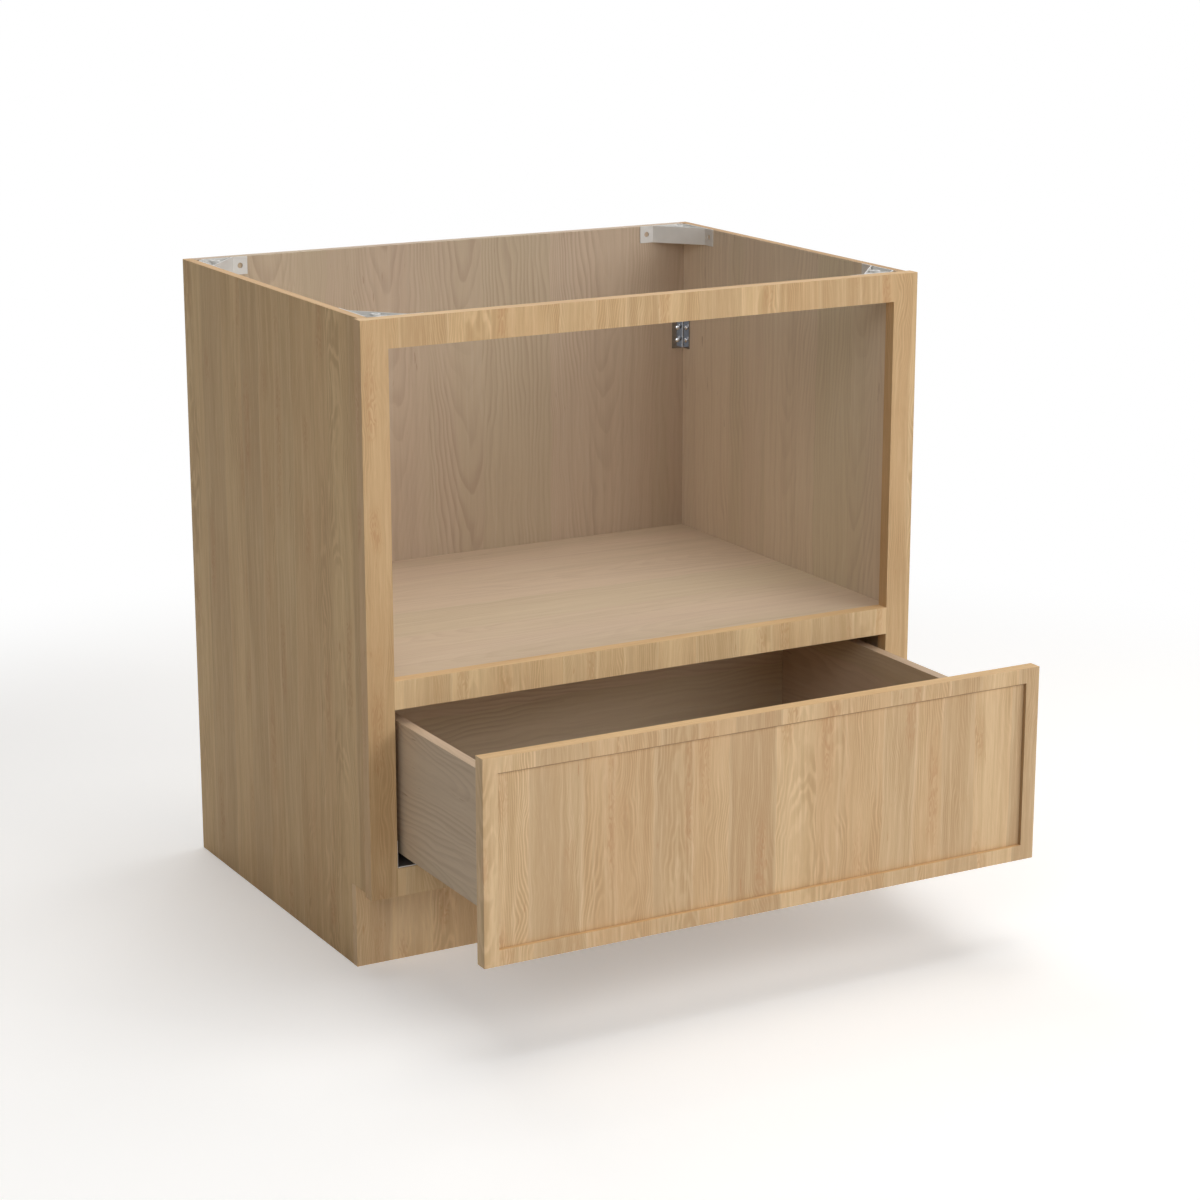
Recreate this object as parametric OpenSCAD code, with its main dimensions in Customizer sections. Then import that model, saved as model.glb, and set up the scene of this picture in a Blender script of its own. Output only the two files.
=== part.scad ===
// Face-frame base cabinet: an open niche for a microwave oven over one wide drawer that
// runs on undermount slides. Millimetres.
// The origin is on the floor, under the middle of the whole outline with the drawer drawn
// out by drawer_open. X points right, Y to the back and Z up. Pieces are drawn with Y = 0
// on the face frame's front and with the drawer shut, and in_place() puts them in the frame.
// Handed pieces are drawn for the right-hand side and mirrored for the left.

/* [Cabinet] */
// Width over the face frame
cab_w = 838.2; // [760:0.1:920]
// Height from the floor to the top edges
cab_h = 876.3; // [840:0.1:940]
// Depth from the face frame's front to the back panel's rear face
cab_d = 609.6; // [604:0.1:680]
// How far the face frame stands past each side panel
frame_lap = 6.35; // [3:0.05:12]

/* [Panels] */
// Thickness of a side panel
side_t = 12.7; // [11:0.1:18]
// Thickness of the back panel
back_t = 15.9; // [10:0.1:19]
// Thickness of the microwave shelf
shelf_t = 19.05; // [15:0.05:22]
// Thickness of the tongues at the shelf's ends
shelf_tongue = 12.7; // [9:0.1:14]
// Thickness of the bottom panel
bottom_t = 12.7; // [9:0.1:18]
// Height of the bottom panel's underside over the toe space
bottom_rise = 9.5; // [4:0.1:12]
// Depth of the grooves in the sides for the shelf's tongues and the bottom
dado = 6.35; // [4:0.05:8]
// Height of the toe space
toe_h = 114.3; // [95:0.1:125]
// Distance of the toe board behind the face frame's front
toe_back = 63.5; // [50:0.1:80]
// Thickness of the toe board
toe_t = 12.7; // [9:0.1:18]

/* [Face frame] */
// Thickness of the face frame
frame_t = 19.05; // [17:0.05:24]
// Width of each stile
stile_w = 38.1; // [34:0.1:46]
// Height of the top rail
top_rail_h = 38.1; // [30:0.1:46]
// Height of the rail between niche and drawer
mid_rail_h = 38.1; // [30:0.1:46]
// Height of the rail under the drawer
bottom_rail_h = 38.1; // [30:0.1:46]
// Clear height of the microwave niche
niche_h = 431.8; // [400:0.1:445]
// How far the middle rail stands over the shelf as a lip
shelf_lip = 3.2; // [1:0.1:6]
// Length of a rail's stub tenon
tenon_l = 12.7; // [8:0.1:18]
// Thickness of a rail's stub tenon
tenon_t = 6.4; // [5:0.1:8]

/* [Corner braces] */
// Reach of a brace along the back or the top rail
brace_x = 78; // [70:0.5:100]
// Reach of a brace along a side panel
brace_y = 87; // [76:0.5:100]
// Height of the brace's walls and tabs
brace_h = 25.4; // [20:0.1:35]
// Sheet thickness of the brace
brace_t = 1.6; // [1:0.1:2.2]
// Width of a screw tab
tab_w = 22; // [16:0.5:26]
// Radius of the hole in a screw tab
tab_hole_r = 4; // [2:0.1:6]
// Depth of the web under the brace's rim
web_drop = 5; // [3:0.1:9]
// Distance of the worktop screw's boss from both walls
boss_in = 22; // [17:0.1:24]
// Outer radius of the boss
boss_r = 6; // [4.5:0.1:8]
// Radius of the worktop screw's hole
boss_hole_r = 2.6; // [2:0.1:3.5]
// Length that the brace's corner is cut back
brace_nose = 12; // [6:0.5:14]

/* [Angle brackets] */
// Width of each leg
angle_w = 20; // [16:0.1:26]
// Height of the bracket
angle_h = 63.5; // [50:0.1:90]
// Sheet thickness
angle_t = 2; // [1.5:0.1:3]
// Distance of the bracket's top under the cabinet's top
angle_drop = 128.5; // [60:0.5:200]
// Distance between a leg's screws
angle_pitch = 19.2; // [12:0.1:20]
// Screws in one leg
angle_screws = 3; // [2:1:4]

/* [Drawer] */
// How far the drawer stands open
drawer_open = 289.6; // [20:0.1:500]
// Thickness of the drawer front
front_t = 19.05; // [17:0.05:24]
// Width of the frame round the drawer front's panel
front_rim = 20.5; // [16:0.1:60]
// Depth of the recessed panel under the frame
recess = 5.5; // [3:0.1:7]
// Thickness of the panel's tongue
tongue_t = 6; // [4:0.1:7]
// Length of the panel's tongue
tongue_l = 8; // [5:0.1:10]
// Face frame left showing at each side of the drawer front
reveal_x = 6.35; // [2:0.05:10]
// Face frame left showing over and under the drawer front
reveal_z = 12.7; // [5:0.1:18]
// Thickness of the drawer box's sides, front and back
box_t = 15; // [12:0.1:18]
// Gap between the drawer box and a stile
box_gap = 9.3; // [7:0.1:12]
// Gap between the drawer box and the middle rail
headroom = 19.8; // [8:0.1:30]
// Thickness of the drawer bottom
box_floor_t = 9.5; // [6:0.1:12]
// Depth of the groove that holds the drawer bottom
box_groove = 7; // [4:0.1:8]
// Distance of the drawer front's screws from the box's inner corners
front_screw_in = 70; // [30:0.5:120]
// Distance of the drawer front's screws from the box's upper and lower edges
front_screw_z = 52; // [46:0.5:70]
// Distance of a bumper from the drawer front's edges
bumper_in = 10; // [7:0.1:12]
// Radius of a bumper
bumper_r = 4.8; // [3:0.1:5]
// Thickness of a bumper
bumper_t = 1.5; // [1:0.1:3]

/* [Slides] */
// Sheet thickness of the slides
gauge = 1.5; // [1.2:0.1:1.8]
// Height of the flange that is screwed to the stile
flange_h = 38; // [32:0.1:46]
// Width of the ball race channels
race_w = 30; // [28:0.1:34]
// Height of one race channel
race_h = 14; // [13:0.1:16]
// Running gap between the two race channels
race_gap = 0.5; // [0.4:0.1:1]
// Gap between the drawer side and the race channels
race_in = 1.7; // [1:0.1:4]
// Length of the lips that keep the balls in
lip = 2.5; // [1.5:0.1:3]
// Diameter of a bearing ball
ball_d = 4.4; // [4:0.1:4.8]
// Balls in one row
ball_n = 6; // [4:1:9]
// Play of a ball in its race
ball_play = 0.3; // [0.2:0.05:0.4]
// Depth of the grooves that the balls run in
groove = 0.5; // [0.3:0.05:0.7]
// Length of a ball cage
cage_l = 200; // [140:1:210]
// Wall thickness of a ball cage
cage_t = 1.2; // [0.8:0.1:1.4]
// Distance of the slides' front end behind the face frame's front
slide_set = 2; // [1:0.1:6]
// Room between the slides' rear end and the back panel, taken up by the rear sockets
rear_room = 58.3; // [30:0.1:90]
// Height of the flange's lower screw over the sill
flange_low = 13; // [12:0.1:15]
// Height of the flange's upper screw over the sill
flange_high = 29; // [20:0.1:34]
// How much shorter the middle member is than the slide
middle_short = 45; // [40:0.5:60]
// Distance of the middle member's front end behind the inner member's
middle_in = 5; // [2:0.5:12]
// Radius of the hook that holds the drawer's back
hook_r = 2.8; // [2:0.1:3]
// Length of the hook in the drawer's back
hook_l = 7; // [5:0.1:8]

/* [Slide fittings] */
// Wall thickness of the moulded rear socket
socket_t = 3; // [2:0.1:4]
// Width of the socket's ear outside the slide
socket_ear = 12; // [9:0.1:15]
// Length of the tongue under the slide's end
socket_tongue = 30; // [20:0.5:50]
// Width of the locking clip
clip_w = 34; // [30:0.5:44]
// Length of the locking clip
clip_l = 38; // [34:0.5:50]
// Thickness of the locking clip's plate
clip_t = 3; // [2.5:0.1:3.5]
// Distance of the release lever's pivot from the clip's inner edge
pivot_in = 13; // [11:0.1:16]
// Distance of the release lever's pivot behind the drawer box's front
pivot_back = 22; // [18:0.1:24]
// Radius of the release lever's pivot pin
pivot_r = 3; // [2.5:0.1:4]
// Thickness of the release lever
lever_t = 4; // [3:0.1:4.5]
// Height of the release lever's tooth and of its tail
lever_w = 6; // [4:0.1:8]
// Length of the release lever's finger tail
lever_tail = 30; // [26:0.5:40]
// Angle of the finger tail behind the drawer's width
tail_slant = 20; // [10:1:30]

/* [Screws] */
// Radius of a screw's shank
shank_r = 1.9; // [1.4:0.1:2.2]
// Radius of a screw's pan head
head_r = 3.6; // [3:0.1:4]
// Height of a screw's pan head
head_h = 2.2; // [1.6:0.1:2.6]
// Length of a screw in a panel
screw_l = 9.5; // [7:0.1:10]

/* [Fits] */
// Clearance of tongues, tenons, panels and screws in their seats
fit = 0.1; // [0.05:0.05:0.3]
// Radial clearance of the release lever on its pin
pin_fit = 0.05; // [0.03:0.01:0.08]
// Gap left between a bumper and the face frame with the drawer shut
shut_gap = 0.1; // [0.1:0.05:0.5]

/* [Hidden] */
$fn = 32;
LEFT = -1;
RIGHT = 1;
over = 1;                                  // how far a cut runs past the face it opens
head_dome_r = 5.2;                         // radius of a pan head's dome

OAK = "#C4A577";
OAK_SHADE = "#A88D66";
OAK_EDGE = "#D3B17F";
MAPLE = "#BDA58B";
ZINC = "#C9C9C8";
PAINTED = "#DCDAD6";
GREY_PLASTIC = "#8E8F90";
ORANGE_PLASTIC = "#C8753A";
RUBBER = "#D9D4C8";

// Levels of the cabinet
body_w = cab_w - 2 * frame_lap;            // over the side panels
inner_w = body_w - 2 * side_t;             // between the side panels
open_w = cab_w - 2 * stile_w;              // between the stiles
back_y = cab_d - back_t;                   // the back panel's front face
sill_z = toe_h + bottom_rail_h;            // top of the bottom rail
niche_z = cab_h - top_rail_h - niche_h;    // top of the middle rail
head_z = niche_z - mid_rail_h;             // underside of the middle rail
shelf_z = niche_z - shelf_lip - shelf_t;   // the shelf's underside
floor_z = toe_h + bottom_rise;             // the bottom panel's underside

// Slide section: u runs from the stile's inner face towards the middle, z up from the sill
race_u = box_gap + box_t + race_in;
stack_h = 2 * race_h + race_gap;           // from the sill to the drawer bottom
ball_way = ball_d + 2 * ball_play - 2 * groove;
ball_u = [gauge + ball_way / 2, race_w - gauge - ball_way / 2];
web_t = 0.6;                               // web that joins a cage's two walls
web_room = web_t + 2 * ball_play;
middle_w = race_w - 2 * gauge - 2 * ball_way;
middle_h = stack_h - 2 * gauge - 2 * web_room;
middle_slot = 7;                           // open seam of the rolled middle member
sill_gap = 1.8;                            // drawer box over the outer race channel

// Drawer, shut
seat_y = -(bumper_t + shut_gap);           // the drawer front's rear face
box_l = back_y - slide_set - rear_room;    // length of the drawer box and of the slides
box_z = sill_z + race_h + sill_gap;        // the drawer box's lower edge
box_top = head_z - headroom;
box_floor_z = sill_z + stack_h;            // the drawer bottom's underside
box_w = open_w - 2 * box_gap;
box_in_w = box_w - 2 * box_t;
box_end = seat_y + box_l;
front_w = cab_w - 2 * reveal_x;
front_z0 = toe_h + reveal_z;
front_z1 = niche_z - reveal_z;
panel_t = front_t - recess;

// Slide members along Y, shut
inner_y0 = seat_y + box_t + fit;
inner_y1 = box_end + fit + gauge;
middle_y0 = inner_y0 + middle_in;
middle_l = box_l - middle_short;
lower_cage_y = (slide_set + middle_y0 + middle_l - cage_l) / 2;
upper_cage_y = (middle_y0 + inner_y1 - cage_l) / 2;
hook_u = race_u + race_w / 2;
hook_z = stack_h + box_floor_t + hook_r + 2;
notch_w = race_in + race_w + 3;            // cut out of the box back round the slide

// The whole outline's middle in Y
mid_y = (cab_d + seat_y - front_t - drawer_open) / 2;

// ---- helpers -----------------------------------------------------------------------

// moves a piece into the frame, drawn out by a share of the drawer's opening
module in_place(share = 0) translate([0, -mid_y - share * drawer_open, 0]) children();

module handed(side) {
    if (side == LEFT) mirror([1, 0, 0]) children();
    else children();
}

// box between two corners
module slab(a, b) translate(a) cube(b - a);

// plate whose outline is drawn in YZ and that grows along +X
module yz_plate(x0, x1) translate([x0, 0, 0]) rotate([90, 0, 90]) linear_extrude(x1 - x0) children();

// bar whose section is drawn in XZ and that grows along +Y
module xz_bar(y0, y1) translate([0, y1, 0]) rotate([90, 0, 0]) linear_extrude(y1 - y0) children();

// turns a slide section's u into X at the right-hand stile
module at_sill() translate([open_w / 2, 0, sill_z]) mirror([1, 0, 0]) children();

// screw along +Z: the shank runs down from z = 0, the pan head stands over it
module pan_screw(length = screw_l) {
    translate([0, 0, -length]) cylinder(r = shank_r, h = length);
    rotate_extrude() intersection() {
        square([head_r, head_h]);
        translate([0, head_h - head_dome_r]) circle(head_dome_r);
    }
}

module pilot(length = screw_l) {
    translate([0, 0, -length - fit]) cylinder(r = shank_r + fit, h = length + fit + over);
}

// ---- carcass -----------------------------------------------------------------------

module side_panel(side) {
    color(OAK_SHADE) in_place() handed(side) difference() {
        yz_plate(inner_w / 2, body_w / 2) polygon([
            [frame_t, toe_h], [frame_t, cab_h], [cab_d, cab_h],
            [cab_d, 0], [toe_back + toe_t, 0], [toe_back + toe_t, toe_h]
        ]);
        for (seat = [[shelf_z, shelf_tongue], [floor_z, bottom_t]])
            slab([inner_w / 2 - over, frame_t - over, seat[0]],
                 [inner_w / 2 + dado, back_y, seat[0] + seat[1] + fit]);
        at_angle_side() pilot();
    }
}

module back_panel() {
    color(MAPLE) in_place() difference() {
        slab([-inner_w / 2, back_y, 0], [inner_w / 2, cab_d, cab_h]);
        for (side = [LEFT, RIGHT]) handed(side) {
            at_angle_back() pilot();
            at_socket_screws() pilot();
        }
    }
}

// a board with tongues let into both side panels
module housed_board(z, thick, tongue) {
    slab([-inner_w / 2, frame_t, z], [inner_w / 2, back_y, z + thick]);
    slab([-inner_w / 2 - dado + fit, frame_t, z], [inner_w / 2 + dado - fit, back_y, z + tongue]);
}

module bottom_panel() color(MAPLE) in_place() housed_board(floor_z, bottom_t, bottom_t);

module microwave_shelf() color(MAPLE) in_place() housed_board(shelf_z, shelf_t, shelf_tongue);

module toe_board() {
    color(OAK) in_place() slab([-body_w / 2, toe_back, 0], [body_w / 2, toe_back + toe_t, toe_h]);
}

// ---- face frame --------------------------------------------------------------------

// the rails' undersides and heights
rails = [[cab_h - top_rail_h, top_rail_h], [head_z, mid_rail_h], [toe_h, bottom_rail_h]];
shoulder = 6;                              // rail height left over and under a tenon

module stile(side) {
    color(OAK) in_place() handed(side) difference() {
        slab([open_w / 2, 0, toe_h], [cab_w / 2, frame_t, cab_h]);
        for (rail = rails)
            slab([open_w / 2 - over, (frame_t - tenon_t) / 2 - fit, rail[0] + shoulder - fit],
                 [open_w / 2 + tenon_l + fit, (frame_t + tenon_t) / 2 + fit,
                  rail[0] + rail[1] - shoulder + fit]);
        at_slide_screws() pilot();
    }
}

module frame_rail(rail) {
    color(OAK) in_place() {
        slab([-open_w / 2, 0, rail[0]], [open_w / 2, frame_t, rail[0] + rail[1]]);
        slab([-open_w / 2 - tenon_l, (frame_t - tenon_t) / 2, rail[0] + shoulder],
             [open_w / 2 + tenon_l, (frame_t + tenon_t) / 2, rail[0] + rail[1] - shoulder]);
    }
}

// ---- corner braces -----------------------------------------------------------------
// The pressed brace is drawn with its corner at the origin, the arms along +X and +Y and
// its rim at z = 0.

tab_a = [brace_x - tab_w, brace_t];        // ends of the diagonal wall
tab_b = [brace_t, brace_y - tab_w];
brace_run = norm(tab_a - tab_b);
skew_x = brace_t * brace_run / (tab_b[1] - tab_a[1]);
skew_y = brace_t * brace_run / (tab_a[0] - tab_b[0]);
nose_in = brace_nose + brace_t * (sqrt(2) - 1);

module brace_outline() {
    polygon([
        [brace_nose, 0], [brace_x, 0], [brace_x, brace_t], tab_a,
        tab_b, [brace_t, brace_y], [0, brace_y], [0, brace_nose]
    ]);
}

// the web's area, drawn from a share of the way through the walls
module brace_inside(share = 1) {
    edge = brace_t * share;
    polygon([
        [nose_in, edge], [tab_a[0] - skew_x * share, edge],
        [edge, tab_b[1] - skew_y * share], [edge, nose_in]
    ]);
}

module brace() {
    difference() {
        union() {
            difference() {
                translate([0, 0, -brace_h]) linear_extrude(brace_h) brace_outline();
                translate([0, 0, -web_drop]) linear_extrude(web_drop + over) brace_inside();
                translate([0, 0, -brace_h - over])
                    linear_extrude(brace_h + over - web_drop - brace_t) brace_inside();
            }
            translate([boss_in, boss_in, -web_drop - brace_t])
                cylinder(r = boss_r, h = web_drop + brace_t);
            brace_ribs();
        }
        translate([boss_in, boss_in, -brace_h]) cylinder(r = boss_hole_r, h = brace_h + over);
        translate([brace_x - tab_w / 2, -over, -brace_h / 2]) rotate([-90, 0, 0])
            cylinder(r = tab_hole_r, h = brace_t + 2 * over);
        translate([-over, brace_y - tab_w / 2, -brace_h / 2]) rotate([0, 90, 0])
            cylinder(r = tab_hole_r, h = brace_t + 2 * over);
    }
}

// two low ribs that stiffen the web between the boss and the walls
module brace_ribs() {
    rib_h = web_drop / 2;
    intersection() {
        translate([0, 0, -web_drop]) linear_extrude(rib_h) brace_inside(1 / 2);
        union() {
            translate([boss_in - brace_t / 2, 0, -web_drop]) cube([brace_t, brace_y, rib_h]);
            translate([0, boss_in - brace_t / 2, -web_drop]) cube([brace_x, brace_t, rib_h]);
        }
    }
}

module brace_at(side, rear) {
    color(PAINTED) in_place() handed(side)
        translate([inner_w / 2, rear ? back_y : frame_t, cab_h])
            mirror([1, 0, 0]) {
                if (rear) mirror([0, 1, 0]) brace();
                else brace();
            }
}

// ---- angle brackets in the niche ---------------------------------------------------

angle_z = cab_h - angle_drop - angle_h;
angle_first = (angle_h - angle_pitch * (angle_screws - 1)) / 2;
angle_reach = (angle_w + angle_t) / 2;     // screw line from the corner

// screw seats on the leg that lies on the side panel, the heads pointing to the middle
module at_angle_side() {
    for (i = [0 : angle_screws - 1])
        translate([inner_w / 2, back_y - angle_reach, angle_z + angle_first + i * angle_pitch])
            rotate([0, -90, 0]) children();
}

// screw seats on the leg that lies on the back panel, the heads pointing to the front
module at_angle_back() {
    for (i = [0 : angle_screws - 1])
        translate([inner_w / 2 - angle_reach, back_y, angle_z + angle_first + i * angle_pitch])
            rotate([90, 0, 0]) children();
}

module angle_bracket(side) {
    bend = angle_t;
    color(ZINC) in_place() handed(side) difference() {
        translate([inner_w / 2, back_y, angle_z]) mirror([1, 0, 0]) mirror([0, 1, 0])
            linear_extrude(angle_h) {
                square([angle_w, angle_t]);
                square([angle_t, angle_w]);
                difference() {
                    square(angle_t + bend);
                    translate([angle_t + bend, angle_t + bend]) circle(bend);
                }
            }
        at_angle_side() pilot_through(angle_t);
        at_angle_back() pilot_through(angle_t);
    }
}

// a clear hole through sheet that stands in front of the screw seat
module pilot_through(sheet) {
    translate([0, 0, -over]) cylinder(r = shank_r + fit, h = sheet + 2 * over);
}

module bracket_screws() {
    color(ZINC) in_place() for (side = [LEFT, RIGHT]) handed(side) {
        at_angle_side() translate([0, 0, angle_t]) pan_screw(screw_l + angle_t);
        at_angle_back() translate([0, 0, angle_t]) pan_screw(screw_l + angle_t);
    }
}

// ---- undermount slides -------------------------------------------------------------

// rolled channel, open at the top, with lips over two rows of balls
module race_channel() {
    difference() {
        square([race_w, race_h]);
        translate([gauge, gauge]) square([race_w - 2 * gauge, race_h - 2 * gauge]);
        translate([gauge + lip, gauge]) square([race_w - 2 * (gauge + lip), race_h]);
        for (u = ball_u) translate([u, race_h / 2]) circle(ball_d / 2 + ball_play);
    }
}

// seats of the two screws that hold a slide's flange to the stile, heads to the middle
module at_slide_screws() {
    for (z = [flange_low, flange_high])
        translate([open_w / 2, slide_set + (frame_t - slide_set) / 2, sill_z + z])
            rotate([0, -90, 0]) children();
}

module slide_outer(side) {
    color(ZINC) in_place() handed(side) difference() {
        at_sill() xz_bar(slide_set, slide_set + box_l) {
            square([gauge, flange_h]);
            square([race_u + race_w, gauge]);
            translate([race_u, 0]) race_channel();
        }
        at_slide_screws() pilot_through(gauge);
        flange_slope();
    }
}

// the flange drops behind its screws, in one slope, to the height of the race
module flange_slope() {
    y0 = frame_t + flange_h / 2;
    drop = flange_h - race_h;
    yz_plate(open_w / 2 - gauge - over, open_w / 2 + over) translate([0, sill_z]) polygon([
        [y0, flange_h + over], [y0 + drop, race_h], [slide_set + box_l + over, race_h],
        [slide_set + box_l + over, flange_h + over]
    ]);
}

module slide_screws() {
    color(ZINC) in_place() for (side = [LEFT, RIGHT]) handed(side)
        at_slide_screws() translate([0, 0, gauge]) pan_screw(screw_l + gauge);
}

// rolled box section with an open seam below and a ball groove for each row
module middle_section() {
    difference() {
        square([middle_w, middle_h]);
        translate([gauge, gauge]) square([middle_w - 2 * gauge, middle_h - 2 * gauge]);
        translate([(middle_w - middle_slot) / 2, -over]) square([middle_slot, gauge + 2 * over]);
        for (z = [race_h / 2, stack_h - race_h / 2], u = ball_u)
            translate([u - gauge - ball_way, z - gauge - web_room]) circle(ball_d / 2 + ball_play);
    }
}

module slide_middle(side) {
    color(ZINC) in_place(1 / 2) handed(side) at_sill() xz_bar(middle_y0, middle_y0 + middle_l)
        translate([race_u + gauge + ball_way, gauge + web_room]) middle_section();
}

// U-shaped cage of the lower rows, drawn from the sill up; the upper one is its mirror image
module cage_section() {
    wall_z = race_h - 2 * gauge - 1;
    for (u = ball_u) translate([u - cage_t / 2, gauge + ball_play]) square([cage_t, wall_z]);
    translate([ball_u[0] - cage_t / 2, gauge + ball_play])
        square([ball_u[1] - ball_u[0] + cage_t, web_t]);
}

module at_balls(y0) {
    for (i = [0 : ball_n - 1], u = ball_u)
        translate([u, y0 + (i + 0.5) * cage_l / ball_n, race_h / 2]) children();
}

module cage(y0) {
    difference() {
        xz_bar(y0, y0 + cage_l) cage_section();
        at_balls(y0) rotate([0, 90, 0])
            cylinder(r = ball_d / 2 + ball_play, h = ball_way, center = true);
    }
}

module in_upper_race() translate([0, 0, stack_h]) mirror([0, 0, 1]) children();

module lower_cage(side) {
    color(GREY_PLASTIC) in_place(1 / 4) handed(side) at_sill()
        translate([race_u, 0, 0]) cage(lower_cage_y);
}

module upper_cage(side) {
    color(GREY_PLASTIC) in_place(3 / 4) handed(side) at_sill()
        translate([race_u, 0, 0]) in_upper_race() cage(upper_cage_y);
}

module lower_balls() {
    color(ZINC) in_place(1 / 4) for (side = [LEFT, RIGHT]) handed(side) at_sill()
        translate([race_u, 0, 0]) at_balls(lower_cage_y) sphere(d = ball_d);
}

module upper_balls() {
    color(ZINC) in_place(3 / 4) for (side = [LEFT, RIGHT]) handed(side) at_sill()
        translate([race_u, 0, 0]) in_upper_race() at_balls(upper_cage_y) sphere(d = ball_d);
}

// the member under the drawer: an inverted race with a tail and a hook for the box back
module slide_inner(side) {
    tail_r = hook_r + 4;
    color(ZINC) in_place(1) handed(side) at_sill() {
        xz_bar(inner_y0, inner_y1) translate([race_u, stack_h]) mirror([0, 1]) race_channel();
        xz_bar(box_end + fit, inner_y1) {
            translate([hook_u - tail_r, stack_h - gauge]) square([2 * tail_r, hook_z - stack_h + gauge]);
            translate([hook_u, hook_z]) circle(tail_r);
        }
        translate([hook_u, box_end - hook_l, hook_z]) rotate([-90, 0, 0])
            cylinder(r = hook_r, h = hook_l + fit + gauge / 2);
    }
}

// ---- slide fittings ----------------------------------------------------------------

socket_clear = 3;                          // from the slide's end to the socket's arm
socket_y0 = slide_set + box_l + socket_clear;
socket_w = race_u + race_w;
socket_h = flange_h;

// seats of the screws that hold a socket to the back panel, heads to the front
module at_socket_screws() {
    for (z = [flange_low, flange_high])
        translate([open_w / 2 + socket_ear / 2, back_y, sill_z + z]) rotate([90, 0, 0]) children();
}

module rear_socket(side) {
    arm_in = socket_w - 2 * socket_t;
    color(GREY_PLASTIC) in_place() handed(side) difference() {
        at_sill() {
            // plate on the back panel
            xz_bar(back_y - socket_t, back_y)
                translate([-socket_ear, -socket_t]) square([socket_w + socket_ear, socket_h + socket_t]);
            // open box arm with a rib down its middle
            difference() {
                slab([0, socket_y0, -socket_t], [socket_w, back_y, race_h]);
                for (half = [0, 1])
                    slab([socket_t + half * (arm_in + socket_t) / 2, socket_y0 + socket_t, 0],
                         [socket_t + half * (arm_in + socket_t) / 2 + (arm_in - socket_t) / 2,
                          back_y - socket_t, race_h + over]);
            }
            // gusset between the arm and the plate
            yz_plate(0, socket_t) polygon([
                [socket_y0, race_h - over], [back_y - socket_t / 2, race_h - over],
                [back_y - socket_t / 2, socket_h]
            ]);
            // tongue that carries the slide's end
            slab([0, slide_set + box_l - socket_tongue, -socket_t], [socket_w, socket_y0 + over, 0]);
        }
        at_socket_screws() pilot_through(socket_t);
    }
}

module socket_screws() {
    color(ZINC) in_place() for (side = [LEFT, RIGHT]) handed(side)
        at_socket_screws() translate([0, 0, socket_t]) pan_screw(screw_l + socket_t);
}

// Locking clip under the drawer bottom, beside the inner member's front end
clip_gap = 0.5;                            // between the inner member and the clip
clip_u = race_u + race_w + clip_gap;
clip_y0 = seat_y + box_t;
clip_edge = head_r + 1.6;                  // screw lines from the clip's edges
clip_screw_l = box_floor_t - 1.5;
pivot = [clip_u + pivot_in, clip_y0 + pivot_back];
lever_play = 0.4;                          // over and under the lever on its pin
lever_top = stack_h - clip_t - lever_play;

module at_clip_screws() {
    for (p = [[clip_w - clip_edge, clip_t + clip_edge], [clip_edge, clip_l - clip_edge]])
        at_sill() translate([clip_u + p[0], clip_y0 + p[1], stack_h]) rotate([180, 0, 0]) children();
}

module lock_clip(side) {
    corner = 4;
    cap = 1.2;
    cap_z = lever_top - lever_t - lever_play - cap;
    hook_h = stack_h - race_h - sill_gap;
    color(ORANGE_PLASTIC) in_place(1) handed(side) difference() {
        at_sill() {
            translate([clip_u, clip_y0, stack_h - clip_t]) linear_extrude(clip_t) {
                translate([corner, 0]) square([clip_w - corner, clip_l]);
                square([clip_w, clip_l - corner]);
                translate([corner, clip_l - corner]) circle(corner);
            }
            // upright behind the box front
            translate([clip_u, clip_y0, stack_h - hook_h]) cube([clip_w, clip_t, hook_h]);
            // the lever's pin, with a cap that keeps the lever on
            translate([pivot[0], pivot[1], cap_z]) {
                cylinder(r = pivot_r, h = stack_h - clip_t / 2 - cap_z);
                cylinder(r = pivot_r + cap, h = cap);
            }
        }
        at_clip_screws() pilot_through(clip_t);
    }
}

module clip_screws() {
    color(ZINC) in_place(1) for (side = [LEFT, RIGHT]) handed(side)
        at_clip_screws() translate([0, 0, clip_t]) pan_screw(clip_screw_l + clip_t);
}

module release_lever(side) {
    hub_r = pivot_r + lever_w / 2;
    pad_r = lever_w * 3 / 4;
    color(GREY_PLASTIC) in_place(1) handed(side) at_sill()
        translate([pivot[0], pivot[1], lever_top - lever_t]) difference() {
            linear_extrude(lever_t) {
                circle(hub_r);
                // tooth that locks against the inner member
                translate([-pivot_in, -lever_w / 2]) square([pivot_in, lever_w]);
                // finger tail with a round end
                rotate(tail_slant) {
                    translate([0, -lever_w / 2]) square([lever_tail, lever_w]);
                    translate([lever_tail, 0]) circle(pad_r);
                }
            }
            translate([0, 0, -over]) cylinder(r = pivot_r + pin_fit, h = lever_t + 2 * over);
        }
}

// ---- drawer box --------------------------------------------------------------------

module drawer_side(side) {
    color(MAPLE) in_place(1) handed(side) difference() {
        slab([box_in_w / 2, seat_y, box_z], [box_w / 2, box_end, box_top]);
        slab([box_in_w / 2 - over, seat_y + box_t - box_groove, box_floor_z],
             [box_in_w / 2 + box_groove, box_end - box_t + box_groove, box_floor_z + box_floor_t + fit]);
    }
}

module drawer_box_front() {
    color(MAPLE) in_place(1) difference() {
        slab([-box_in_w / 2, seat_y, box_z], [box_in_w / 2, seat_y + box_t, box_top]);
        slab([-box_in_w / 2 - over, seat_y + box_t - box_groove, box_floor_z],
             [box_in_w / 2 + over, seat_y + box_t + over, box_floor_z + box_floor_t + fit]);
        at_front_screws() pilot_through(box_t);
    }
}

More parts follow.
